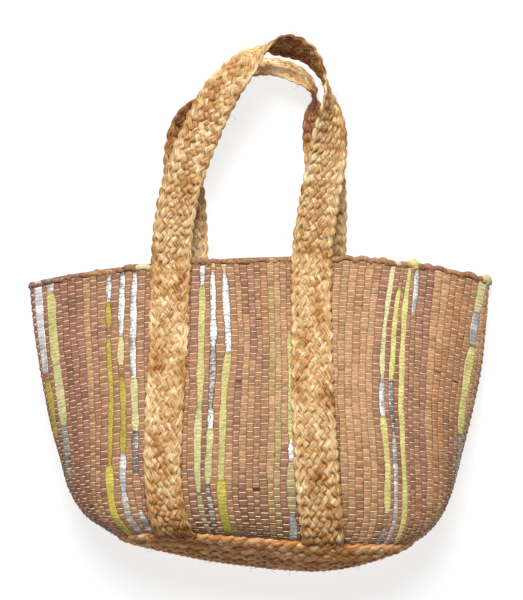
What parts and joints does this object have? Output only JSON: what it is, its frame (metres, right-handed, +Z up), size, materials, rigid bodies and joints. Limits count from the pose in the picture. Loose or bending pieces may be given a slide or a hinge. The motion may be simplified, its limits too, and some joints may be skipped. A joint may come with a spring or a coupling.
{
  "type": "beach bag",
  "caption": "Soft tote lying on its back: a wall woven from rag strips, a dished braided jute base, and braided jute straps that run up each side into handle loops.",
  "frame": {"origin": "on the floor under the middle of the bag as it lies on its back with its handles laid out", "axes": "+X across the bag, +Y from its base towards its mouth and handles, +Z up from the floor out of its front"},
  "size_m": [0.4669, 0.531, 0.122],
  "materials": {
    "rag_weave": "matt rag strips in browns with lime and silver accents",
    "jute_base": "coarse braided jute, darker",
    "jute_strap": "coarse braided jute, golden"
  },
  "bodies": {
    "root": {"woven_wall": "rag_weave", "braided_base": "jute_base", "strap_front": "jute_strap", "strap_back": "jute_strap"}
  },
  "joints": []
}
